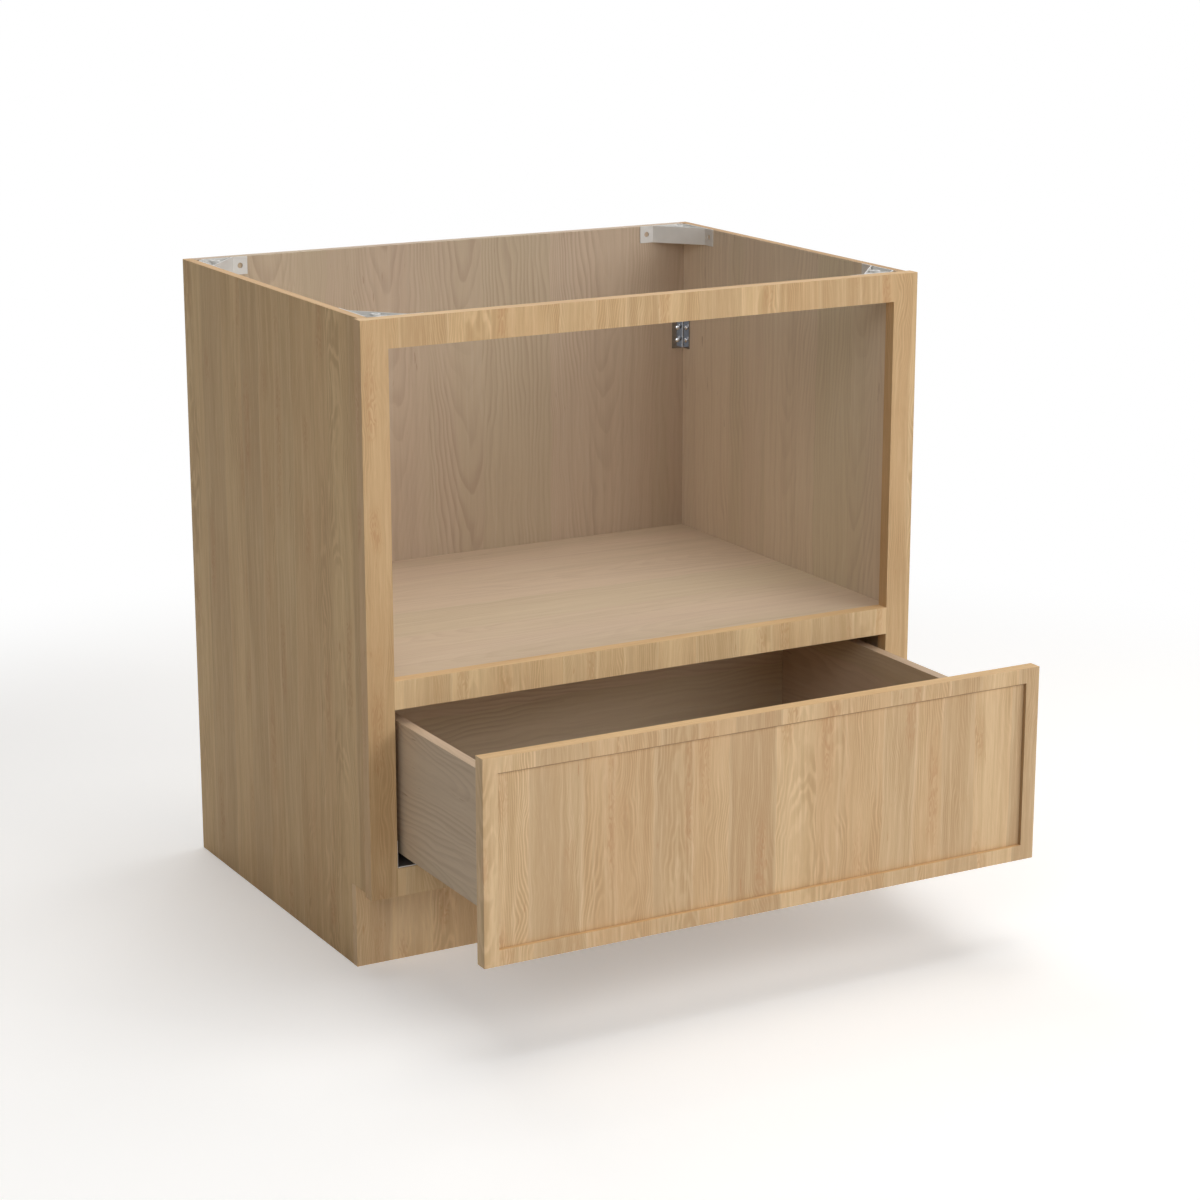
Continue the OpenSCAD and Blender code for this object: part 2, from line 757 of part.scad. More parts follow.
module drawer_box_back() {
    color(MAPLE) in_place(1) difference() {
        slab([-box_in_w / 2, box_end - box_t, box_z], [box_in_w / 2, box_end, box_top]);
        slab([-box_in_w / 2 - over, box_end - box_t - over, box_floor_z],
             [box_in_w / 2 + over, box_end - box_t + box_groove, box_floor_z + box_floor_t + fit]);
        for (side = [LEFT, RIGHT]) handed(side) {
            slab([box_in_w / 2 - notch_w, box_end - box_t - over, box_z - over],
                 [box_in_w / 2 + over, box_end + over, box_floor_z]);
            at_sill() translate([hook_u, box_end - hook_l - fit, hook_z]) rotate([-90, 0, 0])
                cylinder(r = hook_r + fit, h = hook_l + fit + over);
        }
    }
}

module drawer_bottom() {
    x = box_in_w / 2 + box_groove - fit;
    color(MAPLE) in_place(1) difference() {
        slab([-x, seat_y + box_t - box_groove + fit, box_floor_z],
             [x, box_end - box_t + box_groove - fit, box_floor_z + box_floor_t]);
        for (side = [LEFT, RIGHT]) handed(side) at_clip_screws() pilot(clip_screw_l);
    }
}

// ---- drawer front ------------------------------------------------------------------

front_screw_x = box_in_w / 2 - front_screw_in;
front_screw_bite = panel_t - 3.5;          // how deep they go into the front panel

// seats of the screws that hold the drawer front, on the box front's outer face
module at_front_screws() {
    for (x = [-front_screw_x, front_screw_x], z = [box_z + front_screw_z, box_top - front_screw_z])
        translate([x, seat_y, z]) rotate([-90, 0, 0]) children();
}

module front_screws() {
    color(ZINC) in_place(1)
        at_front_screws() translate([0, 0, box_t]) pan_screw(box_t + front_screw_bite);
}

// groove for the panel's tongue along a length, at v = 0 on the inner edge, v outwards
module tongue_groove(length) {
    slab([-length / 2, seat_y - panel_t - fit, -over],
         [length / 2, seat_y - panel_t + tongue_t + fit, tongue_l + fit]);
}

module front_stile(side) {
    h = front_z1 - front_z0;
    color(OAK) in_place(1) handed(side) difference() {
        slab([front_w / 2 - front_rim, seat_y - front_t, front_z0], [front_w / 2, seat_y, front_z1]);
        translate([front_w / 2 - front_rim, 0, (front_z0 + front_z1) / 2]) rotate([0, 90, 0])
            tongue_groove(h - 2 * (front_rim - tongue_l - fit));
    }
}

module front_rail() {
    length = front_w - 2 * front_rim;
    color(OAK) in_place(1) difference() {
        slab([-length / 2, seat_y - front_t, 0], [length / 2, seat_y, front_rim]);
        tongue_groove(length + 2 * over);
    }
}

module front_top_rail() translate([0, 0, front_z1 - front_rim]) front_rail();

module front_bottom_rail() translate([0, 0, front_z0 + front_rim]) mirror([0, 0, 1]) front_rail();

module front_panel() {
    x = front_w / 2 - front_rim;
    color(OAK) in_place(1) difference() {
        union() {
            slab([-x + fit, seat_y - panel_t, front_z0 + front_rim + fit],
                 [x - fit, seat_y, front_z1 - front_rim - fit]);
            slab([-x - tongue_l, seat_y - panel_t, front_z0 + front_rim - tongue_l],
                 [x + tongue_l, seat_y - panel_t + tongue_t, front_z1 - front_rim + tongue_l]);
        }
        at_front_screws() pilot(front_screw_bite);
    }
}

module bumpers() {
    round_r = 0.5;
    color(RUBBER) in_place(1)
        for (side = [LEFT, RIGHT], z = [front_z0 + bumper_in, front_z1 - bumper_in])
            translate([side * (front_w / 2 - bumper_in), seat_y, z]) rotate([-90, 0, 0])
                rotate_extrude() {
                    square([bumper_r - round_r, bumper_t]);
                    square([bumper_r, bumper_t - round_r]);
                    translate([bumper_r, bumper_t] - [round_r, round_r]) circle(round_r, $fn = 24);
                }
}

// ---- the assembly ------------------------------------------------------------------

side_panel(LEFT);  // side_panel_left
side_panel(RIGHT);  // side_panel_right
back_panel();
bottom_panel();
microwave_shelf();
toe_board();
stile(LEFT);  // stile_left
stile(RIGHT);  // stile_right
frame_rail(rails[0]);  // top_rail
frame_rail(rails[1]);  // mid_rail
frame_rail(rails[2]);  // bottom_rail
brace_at(LEFT, true);  // brace_rear_left
brace_at(RIGHT, true);  // brace_rear_right
brace_at(LEFT, false);  // brace_front_left
brace_at(RIGHT, false);  // brace_front_right
angle_bracket(LEFT);  // angle_bracket_left
angle_bracket(RIGHT);  // angle_bracket_right
bracket_screws();
slide_outer(LEFT);  // slide_outer_left
slide_outer(RIGHT);  // slide_outer_right
slide_screws();
rear_socket(LEFT);  // rear_socket_left
rear_socket(RIGHT);  // rear_socket_right
socket_screws();
lower_cage(LEFT);  // lower_cage_left
lower_cage(RIGHT);  // lower_cage_right
lower_balls();
slide_middle(LEFT);  // slide_middle_left
slide_middle(RIGHT);  // slide_middle_right
upper_cage(LEFT);  // upper_cage_left
upper_cage(RIGHT);  // upper_cage_right
upper_balls();
slide_inner(LEFT);  // slide_inner_left
slide_inner(RIGHT);  // slide_inner_right
lock_clip(LEFT);  // lock_clip_left
lock_clip(RIGHT);  // lock_clip_right
clip_screws();
release_lever(LEFT);  // release_lever_left
release_lever(RIGHT);  // release_lever_right
drawer_side(LEFT);  // drawer_side_left
drawer_side(RIGHT);  // drawer_side_right
drawer_box_front();
drawer_box_back();
drawer_bottom();
front_screws();
front_stile(LEFT);  // front_stile_left
front_stile(RIGHT);  // front_stile_right
front_top_rail();
front_bottom_rail();
front_panel();
bumpers();
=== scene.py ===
# A face-frame base cabinet in light oak with an open microwave niche over a wide drawer,
# dressed for a studio picture. Metres, +Z up, the front looks along -Y.
import math

import bmesh
import bpy
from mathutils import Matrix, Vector


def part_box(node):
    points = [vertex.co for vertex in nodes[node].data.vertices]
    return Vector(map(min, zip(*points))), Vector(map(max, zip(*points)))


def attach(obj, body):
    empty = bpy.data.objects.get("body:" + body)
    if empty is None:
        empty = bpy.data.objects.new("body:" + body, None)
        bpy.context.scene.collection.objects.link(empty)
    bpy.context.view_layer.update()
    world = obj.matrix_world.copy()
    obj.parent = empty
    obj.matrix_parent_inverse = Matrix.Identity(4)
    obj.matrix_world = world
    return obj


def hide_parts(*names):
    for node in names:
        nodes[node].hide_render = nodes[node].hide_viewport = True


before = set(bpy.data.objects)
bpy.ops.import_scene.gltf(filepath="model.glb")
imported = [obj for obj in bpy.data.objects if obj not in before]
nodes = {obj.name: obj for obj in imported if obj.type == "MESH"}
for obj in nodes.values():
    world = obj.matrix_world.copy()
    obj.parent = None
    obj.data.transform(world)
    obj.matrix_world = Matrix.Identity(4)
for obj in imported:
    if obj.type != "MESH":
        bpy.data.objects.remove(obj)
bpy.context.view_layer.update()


# ---- Camera ---------------------------------------------------------------------------
# A long lens from the front left, a little above the cabinet, pitched down so that the
# uprights draw together towards the floor. The place was worked out from the picture's edges.
camera_data = bpy.data.cameras.new("camera")
camera_data.lens = 89.247
camera_data.sensor_width = 36
camera = bpy.data.objects.new("camera", camera_data)
camera.location = (-1.9361, -3.4750, 1.4762)
camera_pitch = math.radians(14.711)
camera_turn = math.radians(29.181)
camera.rotation_euler = (math.radians(90) - camera_pitch, 0, -camera_turn)
bpy.context.scene.collection.objects.link(camera)
bpy.context.scene.camera = camera


# ---- Side panels ----------------------------------------------------------------------
# Two upright sheets of veneered plywood: oak outside, pale clear-coated veneer inside, a
# strip of oak glued on the top edge and bare plies at the back. Grooves hold the boards.
class Amount:
    """A number that a shader works out, on which plain Python arithmetic adds Math nodes."""

    def __init__(self, shader, socket):
        self.shader = shader
        self.socket = socket

    def maths(self, operation, *terms):
        return self.shader.node("ShaderNodeMath", {"operation": operation}, dict(enumerate(terms)))

    def __add__(self, other):
        return self.maths("ADD", self, other)

    def __radd__(self, other):
        return self.maths("ADD", other, self)

    def __sub__(self, other):
        return self.maths("SUBTRACT", self, other)

    def __rsub__(self, other):
        return self.maths("SUBTRACT", other, self)

    def __mul__(self, other):
        return self.maths("MULTIPLY", self, other)

    def __rmul__(self, other):
        return self.maths("MULTIPLY", other, self)

    def __truediv__(self, other):
        return self.maths("DIVIDE", self, other)

    def __pow__(self, power):
        return self.maths("POWER", self, power)

    def fraction(self):
        return self.maths("FRACT", self)

    def step(self, low, high):
        """0 at low and past it, 1 at high and past it, whichever of the two is the larger."""
        settings = {"interpolation_type": "SMOOTHSTEP"}
        return self.shader.node("ShaderNodeMapRange", settings, {0: self, 1: low, 2: high}, "Result")


class Shader:
    """One material, whose nodes are added by the methods below."""

    def __init__(self, name):
        self.material = bpy.data.materials.new(name)
        self.material.use_nodes = True
        self.tree = self.material.node_tree
        self.surface = self.tree.nodes["Principled BSDF"]

    def node(self, kind, settings, sockets, *outputs):
        """Adds a node and gives back one of its outputs, or the several that are named."""
        made = self.tree.nodes.new(kind)
        for name, value in settings.items():
            setattr(made, name, value)
        for key, value in sockets.items():
            if isinstance(value, Amount):
                self.tree.links.new(value.socket, made.inputs[key])
            else:
                made.inputs[key].default_value = value
        found = [Amount(self, made.outputs[name]) for name in outputs or (0,)]
        return found if len(found) > 1 else found[0]

    def place(self):
        """The point's X, Y and Z in the cabinet's frame."""
        point = self.node("ShaderNodeTexCoord", {}, {}, "Object")
        return self.node("ShaderNodeSeparateXYZ", {}, {0: point}, "X", "Y", "Z")

    def noise(self, point, scales, detail=2.0, roughness=0.5):
        """Soft noise from 0 to 1, with so many waves a metre along each direction."""
        scaled = [part * scale for part, scale in zip(point, scales)]
        vector = self.node("ShaderNodeCombineXYZ", {}, dict(enumerate(scaled)))
        sockets = {"Vector": vector, "Scale": 1.0, "Detail": detail, "Roughness": roughness}
        return self.node("ShaderNodeTexNoise", {}, sockets, "Fac")

    def blend(self, share, first, second):
        """A colour that goes from first to second."""
        factor, colour_a, colour_b, colour_out = 0, 6, 7, 2
        sockets = {factor: share, colour_a: first, colour_b: second}
        return self.node("ShaderNodeMix", {"data_type": "RGBA"}, sockets, colour_out)

    def finish(self, **sockets):
        """Feeds the surface, where an underscore in a name stands for a space."""
        for name, value in sockets.items():
            slot = self.surface.inputs[name.replace("_", " ")]
            if isinstance(value, Amount):
                self.tree.links.new(value.socket, slot)
            else:
                slot.default_value = value
        return self.material

    def relief(self, height, depth):
        """A bump of so many metres, for the surface's Normal."""
        sockets = {"Height": height, "Distance": depth, "Strength": 1.0}
        return self.node("ShaderNodeBump", {}, sockets, "Normal")


def ink(red, green, blue, tint=(1.0, 1.0, 1.0)):
    """A screen colour from 0 to 255, times a tint, as a linear one."""
    parts = [part * share / 255 for part, share in zip((red, green, blue), tint)]
    return tuple(((part + 0.055) / 1.055) ** 2.4 for part in parts) + (1.0,)


def turned(shade, across, along):
    """The point as (across, along, through) for a veneer whose grain runs along one axis."""
    point = dict(zip("xyz", shade.place()))
    through = next(axis for axis in "xyz" if axis not in (across, along))
    return [point[across], point[along], point[through]]


def staves(shade, point, width, wander):
    """Splits a veneer into staves with wavy borders. Gives back the way across within a
    stave, three random numbers that stay the same all over it, and the way to its border."""
    across, along, through = point
    slow = shade.noise([across + through, along], (9, 2.2, 0), 1.0) - 0.5
    quick = shade.noise([across + through, along], (30, 14, 0), 1.0) - 0.5
    lean = across + through + slow * wander + quick * wander * 0.45
    settings = {"voronoi_dimensions": "1D"}
    sockets = {"W": lean / width, "Scale": 1.0, "Randomness": 0.75}
    random, middle = shade.node("ShaderNodeTexVoronoi", settings, sockets, "Color", "W")
    settings = {"voronoi_dimensions": "1D", "feature": "DISTANCE_TO_EDGE"}
    border = shade.node("ShaderNodeTexVoronoi", settings, sockets, "Distance") * width
    tone, pitch, tilt = shade.node("ShaderNodeSeparateColor", {}, {0: random}, 0, 1, 2)
    return lean - middle * width, tone, pitch, tilt, border


def oak(name, across, along, width, figure, spread, tint, recess=None):
    """Clear-lacquered oak in staves from straw to tan brown, each with fine wavy growth
    lines or arches, a band of tight curl near one border and a few rust-brown flecks.
    figure is the grain's strength and spread how much the staves differ. recess is the
    half width, bottom and top of a frame round it: painted shade darkens a line along its
    sides and bottom, and a painted shadow lies under its top."""
    straw = ink(217, 188, 146, tint)
    tan = ink(199, 165, 124, tint)
    brown = ink(184, 155, 119, tint)
    rust = ink(178, 130, 86, tint)
    late_wood = ink(176, 142, 100, tint)
    pale = ink(224, 200, 162, tint)
    shade = Shader(name)
    point = turned(shade, across, along)
    inside, tone, pitch, tilt, border = staves(shade, point, width, 0.016)
    run = point[1]
    own = [inside + pitch * 3, run + tilt * 5, tone * 4]
    drift = shade.noise(own, (30, 2.4, 1), 2.0)
    curl = shade.noise(own, (24, 7.5, 1), 1.0)
    ripple = shade.noise(own, (90, 26, 1), 1.0)
    arched = tone.step(0.55, 0.56)
    ring_pitch = 0.0032
    arch_curve = 3800
    arches_a_metre = 14
    arches = inside * inside * arch_curve + run * arches_a_metre
    years = inside / ring_pitch * (1 - arched) + arches * arched
    wave = (years + curl * (11 - arched * 5) + ripple * 1.5).fraction() - 0.5
    lines = 1 - (wave * wave * 4)
    feather = shade.noise(own, (20, 4.5, 1), 1.0).step(0.4, 0.64)
    fibres = shade.noise(own, (700, 36, 1), 2.0, 0.6)
    streaks = shade.noise(own, (230, 6, 1), 2.0, 0.5)
    stripes = shade.noise(own, (70, 1.6, 1), 2.0, 0.5)
    band = inside - (tilt - 0.5) * width * 0.9
    in_band = 1 - (band * band).step(0.00001, 0.00012)
    patches = shade.noise(own, (1, 7, 1), 1.0).step(0.46, 0.64)
    twist = shade.noise(own, (120, 30, 1), 1.0)
    knot_pitch = 0.006
    knit = (twist * 7 + inside / knot_pitch).fraction() - 0.5
    knots = 1 - (knit * knit * 4)
    warmth = (pitch - 0.5) * spread + drift * 0.7 + 0.15
    colour = shade.blend(warmth.step(0.05, 0.95), straw, tan)
    colour = shade.blend(tilt.step(0.68, 0.8) * (0.3 + drift * 0.9) * spread, colour, brown)
    colour = shade.blend(lines.step(0.25, 1.0) * (0.08 + feather * 0.42) * figure, colour, late_wood)
    colour = shade.blend(stripes.step(0.48, 0.72) * 0.24 * figure, colour, late_wood)
    colour = shade.blend(streaks.step(0.45, 0.75) * 0.2 * figure, colour, late_wood)
    colour = shade.blend(streaks.step(0.5, 0.3) * 0.22 * figure, colour, pale)
    colour = shade.blend(fibres.step(0.5, 0.8) * 0.24 * figure, colour, late_wood)
    colour = shade.blend(fibres.step(0.48, 0.2) * 0.18 * figure, colour, pale)
    knotted = in_band * patches * (0.1 + knots.step(0.6, 1.0) * 0.3)
    colour = shade.blend(knotted * figure, colour, rust)
    rim = border.step(0.005, 0.0004) * tilt.step(0.4, 0.5) * (0.2 + feather * 0.8)
    colour = shade.blend(rim * 0.4, colour, pale)
    flecks = shade.noise(own, (260, 26, 1), 2.0, 0.5).step(0.68, 0.76)
    near = shade.noise(own, (16, 3, 1), 1.0).step(0.5, 0.6)
    colour = shade.blend(flecks * near * 0.6, colour, rust)
    # Painted shade: a dark line along the recess's sides and bottom, and a painted shadow under the
    # top rail.
    if recess:
        half_x, low_z, high_z = recess
        x, _, z = shade.place()
        from_side = half_x - x.maths("ABSOLUTE", x)
        gap = x.maths("MINIMUM", from_side, z - low_z)
        colour = shade.blend(gap.step(0.0014, 0.0003) * 0.4, colour, ink(160, 120, 80))
        painted_rail_shadow = (high_z - z).step(0.0034, 0.0022)
        colour = shade.blend(painted_rail_shadow * 0.7, colour, ink(128, 98, 68))
    relief = shade.relief(fibres * -0.6 - lines * 0.2, 0.0001)
    return shade.finish(
        Base_Color=colour,
        Roughness=0.5 + fibres * 0.12,
        Specular_IOR_Level=0.35,
        Normal=relief,
    )


def pale_veneer(name, across, along, width, figure, tint):
    """Clear-coated pale veneer: pinkish beige staves with wide waves and tall arches in a
    greyish mauve-brown, as strong as figure says."""
    beige = ink(205, 180, 151, tint)
    pink = ink(202, 174, 149, tint)
    olive = ink(194, 171, 141, tint)
    mauve = ink(163, 134, 111, tint)
    pale = ink(212, 192, 167, tint)
    shade = Shader(name)
    point = turned(shade, across, along)
    inside, tone, pitch, tilt, _ = staves(shade, point, width, 0.02)
    run = point[1]
    own = [inside + pitch * 3, run + tilt * 5, tone * 4]
    drift = shade.noise(own, (22, 1.6, 1), 2.0)
    curl = shade.noise(own, (13, 3.0, 1), 1.0)
    ripple = shade.noise(own, (55, 17, 1), 1.0)
    arched = tilt.step(0.4, 0.41)
    ring_pitch = 0.0085
    arch_curve = 1700
    arches_a_metre = 13
    arches = inside * inside * arch_curve - run * arches_a_metre
    years = inside / ring_pitch * (1 - arched) + arches * arched
    wave = (years + curl * 7 + ripple * 0.8).fraction()
    lines = wave.step(0.25, 0.85) * (1 - wave.step(0.87, 1.0))
    feather = shade.noise(own, (14, 3.2, 1), 1.0).step(0.38, 0.66)
    fibres = shade.noise(own, (700, 30, 1), 2.0, 0.6)
    streaks = shade.noise(own, (160, 4, 1), 2.0, 0.5)
    colour = shade.blend((tone * 0.8 + drift * 0.6 - 0.2).step(0.1, 0.9), beige, pink)
    colour = shade.blend((pitch * 0.6 + drift * 0.6).step(0.4, 0.85) * 0.8, colour, olive)
    colour = shade.blend(lines * (0.08 + feather * 0.3) * figure, colour, mauve)
    colour = shade.blend(streaks.step(0.45, 0.8) * 0.22, colour, mauve)
    colour = shade.blend(streaks.step(0.48, 0.25) * 0.2, colour, pale)
    colour = shade.blend(fibres.step(0.5, 0.8) * 0.16, colour, mauve)
    flecks = shade.noise(own, (230, 22, 1), 2.0, 0.5).step(0.69, 0.76)
    near = shade.noise(own, (12, 2.5, 1), 1.0).step(0.52, 0.62)
    colour = shade.blend(flecks * near * 0.5, colour, ink(146, 112, 90))
    relief = shade.relief(fibres * -0.6 - lines * 0.2, 0.00008)
    return shade.finish(
        Base_Color=colour,
        Roughness=0.55 + fibres * 0.1,
        Specular_IOR_Level=0.3,
        Normal=relief,
    )


def plies(name, through):
    """The bare edge of plywood: thin layers, every other one cut across its grain."""
    shade = Shader(name)
    point = dict(zip("xyz", shade.place()))
    ply_thickness = 0.0018
    layer = (point[through] / (2 * ply_thickness)).fraction().step(0.45, 0.55)
    grit = shade.noise([point[axis] for axis in "xyz"], (700, 700, 700), 2.0)
    colour = shade.blend(layer, ink(206, 178, 140), ink(168, 134, 98))
    colour = shade.blend(grit.step(0.4, 0.75) * 0.35, colour, ink(128, 98, 70))
    return shade.finish(Base_Color=colour, Roughness=0.8, Specular_IOR_Level=0.2)


def board(node, skip=None):
    """A copy of a board with its long edges eased; skip(edge) keeps an edge sharp."""
    mesh = nodes[node].data.copy()
    mesh.name = node + "_eased"
    mesh.materials.clear()
    shape = bmesh.new()
    shape.from_mesh(mesh)
    bmesh.ops.remove_doubles(shape, verts=shape.verts, dist=1e-6)
    bmesh.ops.dissolve_limit(
        shape, angle_limit=math.radians(1), verts=shape.verts, edges=shape.edges
    )
    ease = 0.0005
    shortest = 0.03
    least_turn = math.radians(60)
    corners = [
        edge
        for edge in shape.edges
        if edge.is_manifold
        and edge.is_convex
        and edge.calc_length() > shortest
        and edge.calc_face_angle() > least_turn
        and not (skip and skip(edge))
    ]
    bmesh.ops.bevel(
        shape, geom=corners, offset=ease, segments=2, profile=0.5, affect="EDGES", clamp_overlap=True
    )
    shape.to_mesh(mesh)
    shape.free()
    piece = bpy.data.objects.new(node + "_wood", mesh)
    bpy.context.scene.collection.objects.link(piece)
    return piece


def cover(piece, faces):
    """Gives each face the first material whose test holds for its normal and its middle."""
    for material in faces:
        piece.data.materials.append(material)
    tests = list(faces.values())
    for polygon in piece.data.polygons:
        matches = [i for i, test in enumerate(tests) if test(polygon.normal, polygon.center)]
        polygon.material_index = matches[0]


def stands_for(piece, node, body):
    """Puts a finished piece in the place of a node and on its body."""
    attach(piece, body)
    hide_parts(node)


oak_side = oak("oak_side", "y", "z", width=0.064, figure=1.35, spread=0.6, tint=(1.01, 0.99, 0.925))
oak_strip_left = oak(
    "oak_strip_left", "x", "y", width=0.05, figure=0.8, spread=0.3, tint=(0.995, 0.95, 0.865)
)
# Painted shade: the right side's top strip is a darker copy of the left strip's oak.
oak_strip_right_shaded = oak(
    "oak_strip_right_shaded", "x", "y", width=0.05, figure=0.8, spread=0.3, tint=(0.92, 0.865, 0.78)
)
pale_side = pale_veneer("pale_side", "y", "z", width=0.1, figure=0.65, tint=(1.1, 1.165, 1.22))
plies_x = plies("plies_x", "x")
level_with = 0.0008

for side, outward, oak_strip in (("left", -1, oak_strip_left), ("right", 1, oak_strip_right_shaded)):
    name = "side_panel_" + side
    panel = board(name)
    outer_x = outward * max(abs(corner[0]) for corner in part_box(name))
    cover(
        panel,
        {
            oak_side: lambda normal, middle: (
                abs(normal.x) > 0.5 and abs(middle.x - outer_x) < level_with
            ),
            pale_side: lambda normal, middle: abs(normal.x) > 0.5,
            oak_strip: lambda normal, middle: normal.z > 0.5,
            plies_x: lambda normal, middle: True,
        },
    )
    stands_for(panel, name, "carcass")


# ---- Back panel -----------------------------------------------------------------------
# One upright sheet of pale veneered plywood between the sides, from the floor to the top.
# Its grain stands upright and shows tall arches. It is glued and stapled from behind.
pale_back = pale_veneer("pale_back", "x", "z", width=0.13, figure=1.05, tint=(0.98, 1.005, 1.03))
plies_y = plies("plies_y", "y")
back = board("back_panel")
cover(
    back,
    {
        pale_back: lambda normal, middle: abs(normal.y) > 0.5 or normal.z > 0.5,
        plies_y: lambda normal, middle: True,
    },
)
stands_for(back, "back_panel", "carcass")


# ---- Microwave shelf and bottom panel ----------------------------------------------------
# Two level boards of pale veneered plywood, tongued into grooves in the side panels. The
# grain runs across the cabinet, and the shelf's sheet is fainter than the back's.
pale_shelf = pale_veneer("pale_shelf", "y", "x", width=0.12, figure=0.45, tint=(1.015, 1.035, 1.05))
plies_z = plies("plies_z", "z")
for name in ("microwave_shelf", "bottom_panel"):
    shelf = board(name)
    cover(
        shelf,
        {
            pale_shelf: lambda normal, middle: abs(normal.z) > 0.5,
            plies_z: lambda normal, middle: True,
        },
    )
    stands_for(shelf, name, "carcass")


# ---- Toe board ------------------------------------------------------------------------
# An oak board that closes the toe space, set back under the cabinet and nailed to the
# side panels' edges.
oak_edge_x = oak("oak_edge_x", "y", "x", width=0.05, figure=0.8, spread=0.3, tint=(1.03, 1.0, 0.94))
# Painted light: the toe board, in shade under the drawer, gets a much lighter copy of the oak.
oak_toe_painted_light = oak("oak_toe_painted_light", "x", "z", width=0.056, figure=1.0, spread=0.5, tint=(1.15, 1.17, 1.2))
toe = board("toe_board")
cover(
    toe,
    {
        oak_edge_x: lambda normal, middle: abs(normal.z) > 0.5,
        oak_toe_painted_light: lambda normal, middle: True,
    },
)
stands_for(toe, "toe_board", "carcass")


# ---- Face frame -----------------------------------------------------------------------
# Two stiles and three rails of oak, joined by stub tenons, sanded flush and lacquered as
# one, so that no joint shows. The grain stands upright on the rails too.
def at_joint(joint_x):
    """A test for the edges where a rail meets a stile, so far from the middle."""
    return lambda edge: all(abs(abs(vertex.co.x) - joint_x) < 1e-4 for vertex in edge.verts)


opening_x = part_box("stile_right")[0][0]
oak_frame = oak("oak_frame", "x", "z", width=0.056, figure=1.2, spread=0.6, tint=(1.01, 0.995, 0.965))
# Painted light: the mid and bottom rails, shaded by the open drawer, get a lighter copy of the frame's
# oak.
oak_low_rail_painted_light = oak(
    "oak_low_rail_painted_light", "x", "z", width=0.056, figure=0.95, spread=0.5, tint=(1.105, 1.125, 1.13)
)
for name in ("stile_left", "stile_right", "top_rail", "mid_rail", "bottom_rail"):
    member = board(name, skip=at_joint(opening_x))
    oak_here = oak_low_rail_painted_light if name in ("mid_rail", "bottom_rail") else oak_frame
    cover(
        member,
        {
            oak_edge_x: lambda normal, middle: abs(normal.z) > 0.5,
            oak_here: lambda normal, middle: True,
        },
    )
    stands_for(member, name, "carcass")


# ---- Corner braces --------------------------------------------------------------------
# Four pressed corner braces of painted sheet: a level web with a screw boss and ribs, and
# a slanting wall that folds out into two drilled tabs, left without screws.
def brace_paint():
    """Thin white powder paint over sheet steel, a little uneven."""
    shade = Shader("brace_paint")
    point = shade.place()
    cloud = shade.noise(point, (60, 60, 60), 3.0)
    grit = shade.noise(point, (1500, 1500, 1500), 2.0)
    colour = shade.blend(cloud, ink(226, 224, 220), ink(213, 211, 207))
    relief = shade.relief(grit, 0.00003)
    return shade.finish(Base_Color=colour, Roughness=0.36 + cloud * 0.12, Normal=relief)


def refinish(node, material):
    """Gives a node whose shape is right a better material."""
    nodes[node].material_slots[0].material = material


painted = brace_paint()
for corner in ("rear_left", "rear_right", "front_left", "front_right"):
    refinish("brace_" + corner, painted)


# ---- Angle brackets -------------------------------------------------------------------
# Bent angles of bright zinc-plated steel in the niche's rear corners, which hold the back
# to the sides.
def zinc(name, colour, roughness):
    """Bright zinc plate over steel: faint spangle, rolled streaks and handling marks."""
    shade = Shader(name)
    point = shade.place()
    spangle = shade.noise(point, (240, 240, 240), 2.0)
    smears = shade.noise(point, (40, 12, 40), 3.0)
    bright = ink(*colour)
    dull = ink(*colour, (0.92, 0.92, 0.93))
    colour = shade.blend(spangle.step(0.4, 0.62) * 0.5, bright, dull)
    rough = roughness + (smears - 0.5) * 0.12 + spangle * 0.03
    return shade.finish(Base_Color=colour, Metallic=1.0, Roughness=rough)


bright_zinc = zinc("bright_zinc", (156, 158, 162), 0.14)
for side in ("left", "right"):
    refinish("angle_bracket_" + side, bright_zinc)


# ---- Screws ---------------------------------------------------------------------------
# Zinc-plated pan-head screws with a cross recess. One tree of Geometry Nodes makes them
# all, on points that stand in the seats of the cabinet's own screws.
def islands(mesh):
    """The corners of each separate solid of a mesh."""
    shape = bmesh.new()
    shape.from_mesh(mesh)
    bmesh.ops.remove_doubles(shape, verts=shape.verts, dist=1e-6)
    seen = set()
    found = []
    for first in shape.verts:
        if first in seen:
            continue
        seen.add(first)
        reached = [first]
        for vertex in reached:
            for edge in vertex.link_edges:
                other = edge.other_vert(vertex)
                if other not in seen:
                    seen.add(other)
                    reached.append(other)
        found.append([vertex.co.copy() for vertex in reached])
    shape.free()
    return found


def seat_of(corners):
    """The tip of a screw's head, the direction it looks in, and the screw's length."""
    low = Vector([min(corner[i] for corner in corners) for i in range(3)])
    high = Vector([max(corner[i] for corner in corners) for i in range(3)])
    size = high - low
    axis = max(range(3), key=lambda i: size[i])
    middle = (low + high) / 2
    near_high = [c for c in corners if c[axis] > middle[axis]]
    near_low = [c for c in corners if c[axis] <= middle[axis]]

    def reach(group):
        return max((c - middle).length_squared - (c[axis] - middle[axis]) ** 2 for c in group)

    looks = 1 if reach(near_high) > reach(near_low) else -1
    facing = Vector([looks if i == axis else 0 for i in range(3)])
    return middle + facing * size[axis] / 2, facing, size[axis]


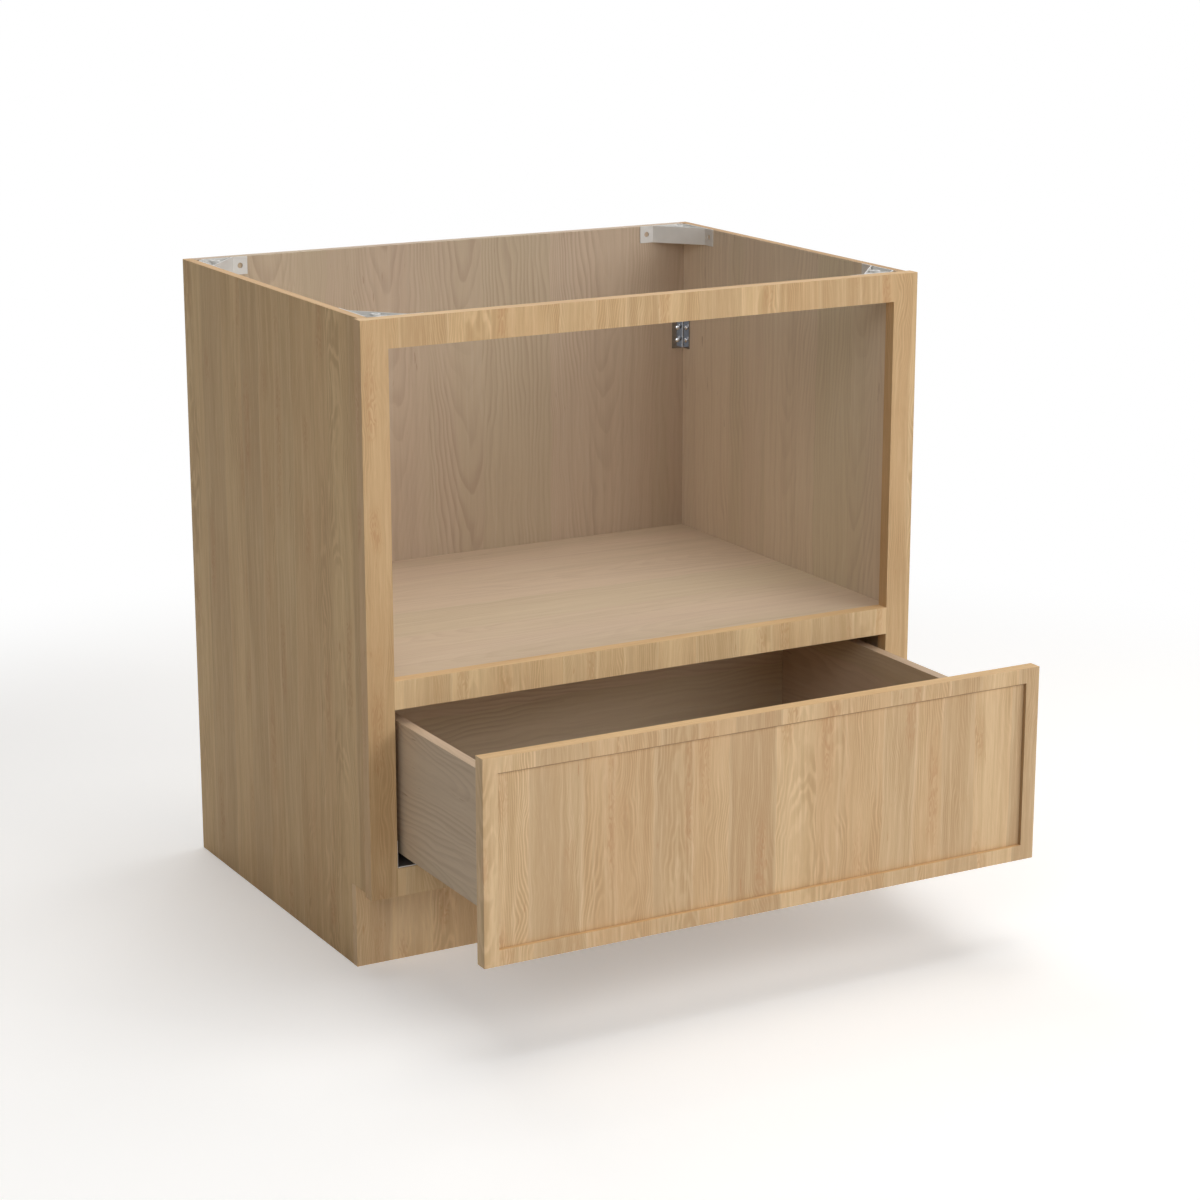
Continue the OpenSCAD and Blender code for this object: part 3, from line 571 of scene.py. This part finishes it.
def screw_tree():
    """Points with a facing direction in, screws with a cross recess out."""
    tree = bpy.data.node_groups.new("pan_head_screws", "GeometryNodeTree")
    face = tree.interface
    face.new_socket("Geometry", in_out="INPUT", socket_type="NodeSocketGeometry")
    face.new_socket("Head Radius", in_out="INPUT", socket_type="NodeSocketFloat")
    face.new_socket("Head Height", in_out="INPUT", socket_type="NodeSocketFloat")
    face.new_socket("Dome Radius", in_out="INPUT", socket_type="NodeSocketFloat")
    face.new_socket("Shank Radius", in_out="INPUT", socket_type="NodeSocketFloat")
    face.new_socket("Length", in_out="INPUT", socket_type="NodeSocketFloat")
    face.new_socket("Turn Seed", in_out="INPUT", socket_type="NodeSocketInt")
    face.new_socket("Material", in_out="INPUT", socket_type="NodeSocketMaterial")
    face.new_socket("Geometry", in_out="OUTPUT", socket_type="NodeSocketGeometry")
    entry = tree.nodes.new("NodeGroupInput")

    def add(kind, settings=None, **sockets):
        made = tree.nodes.new(kind)
        for name, value in (settings or {}).items():
            setattr(made, name, value)
        for name, value in sockets.items():
            slot = made.inputs[name.replace("_", " ")]
            if isinstance(value, bpy.types.NodeSocket):
                tree.links.new(value, slot)
            else:
                slot.default_value = value
        return made

    def maths(operation, first, second):
        made = add("ShaderNodeMath", {"operation": operation})
        for slot, value in zip(made.inputs, (first, second)):
            if isinstance(value, bpy.types.NodeSocket):
                tree.links.new(value, slot)
            else:
                slot.default_value = value
        return made.outputs[0]

    def along_z(height):
        return add("ShaderNodeCombineXYZ", Z=height).outputs[0]

    def moved(mesh, height):
        return add("GeometryNodeTransform", Geometry=mesh, Translation=along_z(height)).outputs[0]

    def cut(operation, first, second):
        made = add("GeometryNodeMeshBoolean", {"operation": operation, "solver": "EXACT"})
        if operation == "DIFFERENCE":
            tree.links.new(first, made.inputs["Mesh 1"])
            tree.links.new(second, made.inputs["Mesh 2"])
        else:
            tree.links.new(first, made.inputs["Mesh 2"])
            tree.links.new(second, made.inputs["Mesh 2"])
        return made.outputs[0]

    head_r = entry.outputs["Head Radius"]
    head_h = entry.outputs["Head Height"]
    dome_r = entry.outputs["Dome Radius"]
    length = entry.outputs["Length"]
    # the tip of the head is at z = 0
    barrel = add("GeometryNodeMeshCylinder", Vertices=40, Radius=head_r, Depth=head_h)
    barrel = moved(barrel.outputs[0], maths("MULTIPLY", head_h, -0.5))
    dome = add("GeometryNodeMeshUVSphere", Segments=40, Rings=28, Radius=dome_r)
    dome = moved(dome.outputs[0], maths("MULTIPLY", dome_r, -1))
    head = cut("INTERSECT", barrel, dome)
    slot_long = maths("MULTIPLY", head_r, 1.15)
    slot_wide = maths("MULTIPLY", head_r, 0.26)
    slot_deep = maths("MULTIPLY", head_h, 1.1)
    for turn in (0, math.pi / 2):
        size = add("ShaderNodeCombineXYZ", X=slot_long, Y=slot_wide, Z=slot_deep).outputs[0]
        bar = add("GeometryNodeMeshCube", Size=size).outputs[0]
        bar = add("GeometryNodeTransform", Geometry=bar, Rotation=(0, 0, turn)).outputs[0]
        head = cut("DIFFERENCE", head, bar)
    shank_l = maths("SUBTRACT", length, head_h)
    shank = add(
        "GeometryNodeMeshCylinder", Vertices=16, Radius=entry.outputs["Shank Radius"], Depth=shank_l
    )
    half = maths("MULTIPLY", shank_l, -0.5)
    shank = moved(shank.outputs[0], maths("SUBTRACT", half, head_h))
    whole = add("GeometryNodeJoinGeometry")
    tree.links.new(shank, whole.inputs[0])
    tree.links.new(head, whole.inputs[0])
    facing = add("GeometryNodeInputNamedAttribute", {"data_type": "FLOAT_VECTOR"}, Name="facing")
    turned_to = add("FunctionNodeAlignRotationToVector", Vector=facing.outputs[0])
    spin = add("FunctionNodeRandomValue", {"data_type": "FLOAT"})
    spin.inputs[2].default_value = 0.0
    spin.inputs[3].default_value = math.pi
    tree.links.new(entry.outputs["Turn Seed"], spin.inputs["Seed"])
    about = add("ShaderNodeCombineXYZ", Z=spin.outputs[1]).outputs[0]
    rotation = add("FunctionNodeRotateRotation", {"rotation_space": "LOCAL"})
    tree.links.new(turned_to.outputs[0], rotation.inputs[0])
    tree.links.new(about, rotation.inputs[1])
    screws = add(
        "GeometryNodeInstanceOnPoints",
        Points=entry.outputs["Geometry"],
        Instance=whole.outputs[0],
        Rotation=rotation.outputs[0],
    )
    real = add("GeometryNodeRealizeInstances", Geometry=screws.outputs[0])
    plated = add(
        "GeometryNodeSetMaterial", Geometry=real.outputs[0], Material=entry.outputs["Material"]
    )
    leave = tree.nodes.new("NodeGroupOutput")
    tree.links.new(plated.outputs[0], leave.inputs[0])
    return tree


pan_head_screws = screw_tree()
screw_zinc = zinc("screw_zinc", (222, 222, 222), 0.16)


def screws(node, body, seed):
    """Plain meshes of the screws that stand in one node's seats."""
    seats = [seat_of(corners) for corners in islands(nodes[node].data)]
    points = bpy.data.meshes.new(node + "_points")
    points.from_pydata([tip for tip, facing, length in seats], [], [])
    directions = points.attributes.new("facing", "FLOAT_VECTOR", "POINT")
    for entry, (tip, facing, length) in zip(directions.data, seats):
        entry.vector = facing
    holder = bpy.data.objects.new(node + "_points", points)
    bpy.context.scene.collection.objects.link(holder)
    maker = holder.modifiers.new("screws", "NODES")
    maker.node_group = pan_head_screws
    sizes = {
        "Head Radius": 0.0036,
        "Head Height": 0.0022,
        "Dome Radius": 0.0052,
        "Shank Radius": 0.0019,
        "Length": seats[0][2],
        "Turn Seed": seed,
        "Material": screw_zinc,
    }
    for item in pan_head_screws.interface.items_tree:
        if item.in_out == "INPUT" and item.name in sizes:
            maker[item.identifier] = sizes[item.name]
    made = bpy.data.meshes.new_from_object(
        holder.evaluated_get(bpy.context.evaluated_depsgraph_get())
    )
    bpy.data.objects.remove(holder)
    made.shade_smooth()
    made.set_sharp_from_angle(angle=math.radians(35))
    piece = bpy.data.objects.new(node + "_plated", made)
    bpy.context.scene.collection.objects.link(piece)
    stands_for(piece, node, body)


screws("bracket_screws", "carcass", 3)
screws("slide_screws", "carcass", 5)
screws("socket_screws", "carcass", 8)
screws("clip_screws", "drawer", 13)
screws("front_screws", "drawer", 21)


# ---- Undermount slides ----------------------------------------------------------------
# Rolled steel members on both sides of the opening. The outer one is screwed to the stile,
# the middle one runs in it on caged balls, and the inner one carries the drawer.
def slide_steel(name, front_y):
    """Dull zinc plate over rolled steel; the bare sheared end that faces the front is painted near
    white as a painted highlight.
    """
    shade = Shader(name)
    point = shade.place()
    spangle = shade.noise(point, (240, 240, 240), 2.0)
    smears = shade.noise(point, (40, 12, 40), 3.0)
    # Bare sheared steel at the front end, painted near white and hardly metallic as a painted
    # highlight.
    sheared_end_highlight = (point[1] - front_y).step(0.0002, 0.0001)
    plate = shade.blend(spangle.step(0.4, 0.62) * 0.5, ink(146, 139, 134), ink(134, 128, 125))
    colour = shade.blend(sheared_end_highlight, plate, ink(242, 241, 238))
    rough = 0.34 + sheared_end_highlight * 0.16 + (smears - 0.5) * 0.12 + spangle * 0.03
    return shade.finish(Base_Color=colour, Metallic=0.55 - sheared_end_highlight * 0.45, Roughness=rough)


for member in ("outer", "middle", "inner"):
    rolled = slide_steel("slide_steel_" + member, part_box("slide_" + member + "_left")[0][1])
    for side in ("left", "right"):
        refinish("slide_" + member + "_" + side, rolled)


# ---- Bearing balls --------------------------------------------------------------------
# Polished steel balls, in two rows above and below each middle member. They roll between
# the members' bent lips, and the cages keep them apart.
polished_steel = zinc("polished_steel", (222, 222, 224), 0.08)
for name in ("lower_balls", "upper_balls"):
    refinish(name, polished_steel)


# ---- Ball cages, rear sockets and release levers ----------------------------------------
# Grey moulded plastic. The cages space the balls, the sockets hold the slides' rear ends
# to the back panel, and the levers lock the drawer to the slides.
def moulding(name, red, green, blue):
    """Moulded plastic with a fine spark-eroded texture and a faint flow pattern."""
    shade = Shader(name)
    point = shade.place()
    flow = shade.noise(point, (35, 35, 35), 2.0)
    spark = shade.noise(point, (2200, 2200, 2200), 1.0)
    colour = shade.blend(flow, ink(red, green, blue), ink(red * 0.93, green * 0.93, blue * 0.93))
    relief = shade.relief(spark, 0.00003)
    return shade.finish(Base_Color=colour, Roughness=0.42 + flow * 0.1, Normal=relief)


grey_plastic = moulding("grey_plastic", 152, 154, 156)
for part in ("lower_cage", "upper_cage", "rear_socket", "release_lever"):
    for side in ("left", "right"):
        refinish(part + "_" + side, grey_plastic)


# ---- Locking clips --------------------------------------------------------------------
# Orange moulded clips screwed under the drawer bottom behind its front, one to each slide,
# with a pin that the release lever turns on.
orange_plastic = moulding("orange_plastic", 206, 122, 62)
for side in ("left", "right"):
    refinish("lock_clip_" + side, orange_plastic)


# ---- Drawer box -----------------------------------------------------------------------
# Sides, front and back of pale boards whose grain runs lengthwise, glued at the corners,
# round a bottom that sits in a groove on all four sides.
pale_box_side = pale_veneer("pale_box_side", "z", "y", width=0.075, figure=0.8, tint=(1.0, 1.02, 1.04))
pale_box_end = pale_veneer("pale_box_end", "z", "x", width=0.075, figure=1.1, tint=(1.04, 1.08, 1.12))
pale_edge_y = pale_veneer("pale_edge_y", "x", "y", width=0.05, figure=0.4, tint=(1.0, 1.0, 1.0))
pale_edge_x = pale_veneer("pale_edge_x", "y", "x", width=0.05, figure=0.4, tint=(1.0, 1.0, 1.0))
for side in ("left", "right"):
    name = "drawer_side_" + side
    cheek = board(name)
    cover(
        cheek,
        {
            pale_edge_y: lambda normal, middle: abs(normal.z) > 0.5,
            pale_box_side: lambda normal, middle: True,
        },
    )
    stands_for(cheek, name, "drawer")
for name in ("drawer_box_front", "drawer_box_back"):
    end = board(name)
    cover(
        end,
        {
            pale_edge_x: lambda normal, middle: abs(normal.z) > 0.5,
            pale_box_end: lambda normal, middle: True,
        },
    )
    stands_for(end, name, "drawer")
tray = board("drawer_bottom")
cover(tray, {pale_shelf: lambda normal, middle: True})
stands_for(tray, "drawer_bottom", "drawer")


# ---- Drawer front ---------------------------------------------------------------------
# A slim five-piece front: two stiles, two rails and a panel that lies 5.5 mm deeper and is
# tongued into them. The grain stands upright on every piece, as on one sheet.
oak_front = oak("oak_front", "x", "z", width=0.056, figure=1.2, spread=0.9, tint=(1.015, 1.01, 1.01))
# Painted light: the front's top and bottom edges get a lighter copy of the edge oak, as if lit more
# from above.
oak_front_edge_painted_light = oak(
    "oak_front_edge_painted_light", "y", "x", width=0.05, figure=0.8, spread=0.3, tint=(1.11, 1.085, 1.03)
)
# Painted shade: the stiles' walls beside the sunk panel get a darker copy of the oak.
oak_recess_wall_shaded = oak(
    "oak_recess_wall_shaded", "y", "z", width=0.05, figure=0.8, spread=0.3, tint=(0.8, 0.77, 0.72)
)
front_inner_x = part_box("front_stile_right")[0][0]
for part in ("front_stile_left", "front_stile_right", "front_top_rail", "front_bottom_rail"):
    strip = board(part, skip=at_joint(front_inner_x))
    cover(
        strip,
        {
            oak_front_edge_painted_light: lambda normal, middle: abs(normal.z) > 0.5,
            oak_recess_wall_shaded: lambda normal, middle: (
                abs(normal.x) > 0.5 and abs(abs(middle.x) - front_inner_x) < level_with
            ),
            oak_front: lambda normal, middle: True,
        },
    )
    stands_for(strip, part, "drawer")
recess = (front_inner_x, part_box("front_bottom_rail")[1][2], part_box("front_top_rail")[0][2])
# The panel's oak carries painted shade along its border and a painted shadow under the top rail.
oak_field_shaded = oak(
    "oak_field_shaded", "x", "z", width=0.056, figure=1.2, spread=0.9, tint=(1.015, 1.01, 1.01), recess=recess
)
field = board("front_panel", skip=lambda edge: True)
cover(field, {oak_field_shaded: lambda normal, middle: True})
stands_for(field, "front_panel", "drawer")


# ---- Bumpers --------------------------------------------------------------------------
# Milky soft plastic dots, stuck on the back of the drawer front near its corners. They
# meet the face frame when the drawer shuts.
def soft_dot():
    """Milky soft plastic with a smooth skin."""
    shade = Shader("soft_dot")
    haze = shade.noise(shade.place(), (400, 400, 400), 2.0)
    colour = shade.blend(haze, ink(226, 223, 215), ink(214, 210, 200))
    return shade.finish(Base_Color=colour, Roughness=0.3, Subsurface_Weight=0.1)


refinish("bumpers", soft_dot())


# ---- Floor ----------------------------------------------------------------------------
# A wide white studio floor that takes the soft shadows and runs out into a white room.
def floor_paint():
    """Matt white. The camera sees it lifted towards white, and pure white far from the cabinet."""
    shade = Shader("studio_floor")
    shade.finish(Base_Color=ink(249, 248, 246), Roughness=0.9, Specular_IOR_Level=0.0)
    warm_white = (1.0, 0.985, 0.975, 1.0)
    pure_white = (1.0, 1.0, 1.0, 1.0)
    fades_from = 1.25
    fades_to = 2.0
    lift = shade.node("ShaderNodeEmission", {}, {"Color": warm_white, "Strength": 0.28})
    white = shade.node("ShaderNodeEmission", {}, {"Color": pure_white, "Strength": 1.0})
    paint = Amount(shade, shade.surface.outputs[0])
    near = shade.node("ShaderNodeAddShader", {}, {0: paint, 1: lift})
    x, y, _ = shade.place()
    far = ((x * x + y * y) ** 0.5).step(fades_from, fades_to)
    shown = shade.node("ShaderNodeMixShader", {}, {0: far, 1: near, 2: white})
    rays = ("Is Camera Ray", "Is Glossy Ray", "Is Transmission Ray")
    seen, in_gloss, through_glass = shade.node("ShaderNodeLightPath", {}, {}, *rays)
    watched = seen.maths("MAXIMUM", seen.maths("MAXIMUM", seen, in_gloss), through_glass)
    whole = shade.node("ShaderNodeMixShader", {}, {0: watched, 1: paint, 2: shown})
    output = shade.tree.nodes["Material Output"]
    shade.tree.links.new(whole.socket, output.inputs["Surface"])
    return shade.material


floor_half = 12.0
floor_mesh = bpy.data.meshes.new("floor")
floor_mesh.from_pydata(
    [
        (-floor_half, -floor_half, 0),
        (floor_half, -floor_half, 0),
        (floor_half, floor_half, 0),
        (-floor_half, floor_half, 0),
    ],
    [],
    [(0, 1, 2, 3)],
)
floor_mesh.materials.append(floor_paint())
floor = bpy.data.objects.new("floor", floor_mesh)
bpy.context.scene.collection.objects.link(floor)


# ---- Lights ---------------------------------------------------------------------------
# Large soft boxes: three at the front right, one of them low, a fill at the front left, two
# high behind the cabinet and one overhead, in a white room whose own light hardly counts.
cabinet_middle_z = 0.45


def soft_box(name, place, watts, size):
    """A square area lamp aimed at the middle of the cabinet."""
    lamp = bpy.data.lights.new(name, "AREA")
    lamp.energy = watts
    lamp.size = size
    holder = bpy.data.objects.new(name, lamp)
    holder.location = place
    towards = Vector((0, 0, cabinet_middle_z)) - Vector(place)
    holder.rotation_euler = towards.to_track_quat("-Z", "Y").to_euler()
    bpy.context.scene.collection.objects.link(holder)


soft_box("front_box", (2.25, -5.05, 2.79), 74, 2.8)
soft_box("low_front_box", (0.90, -5.80, 0.85), 38, 1.5)
soft_box("front_right_box", (3.91, -3.78, 2.99), 68, 2.6)
soft_box("front_left_fill", (-3.34, -3.98, 3.45), 62, 2.6)
soft_box("back_right_spot", (1.45, 0.98, 3.60), 14, 1.1)
soft_box("back_box", (0.36, 2.03, 3.40), 24, 1.6)
soft_box("overhead_box", (0.50, -0.30, 8.40), 215, 4.2)

room = bpy.data.worlds.new("room")
bpy.context.scene.world = room
room.use_nodes = True
room_nodes = room.node_tree.nodes
room_links = room.node_tree.links
fill = room_nodes["Background"]
fill.inputs["Color"].default_value = (1.0, 1.0, 1.0, 1.0)
fill.inputs["Strength"].default_value = 0.02
seen_white = room_nodes.new("ShaderNodeBackground")
seen_white.inputs["Color"].default_value = (1.0, 1.0, 1.0, 1.0)
seen_white.inputs["Strength"].default_value = 1.0
ray = room_nodes.new("ShaderNodeLightPath")
seen_directly = room_nodes.new("ShaderNodeMath")
seen_directly.operation = "MAXIMUM"
seen_in_gloss = room_nodes.new("ShaderNodeMath")
seen_in_gloss.operation = "MAXIMUM"
room_links.new(ray.outputs["Is Camera Ray"], seen_directly.inputs[0])
room_links.new(ray.outputs["Is Glossy Ray"], seen_directly.inputs[1])
room_links.new(seen_directly.outputs[0], seen_in_gloss.inputs[0])
room_links.new(ray.outputs["Is Transmission Ray"], seen_in_gloss.inputs[1])
room_choice = room_nodes.new("ShaderNodeMixShader")
room_links.new(seen_in_gloss.outputs[0], room_choice.inputs[0])
room_links.new(fill.outputs[0], room_choice.inputs[1])
room_links.new(seen_white.outputs[0], room_choice.inputs[2])
room_links.new(room_choice.outputs[0], room_nodes["World Output"].inputs["Surface"])
bpy.context.scene.view_settings.view_transform = "Standard"
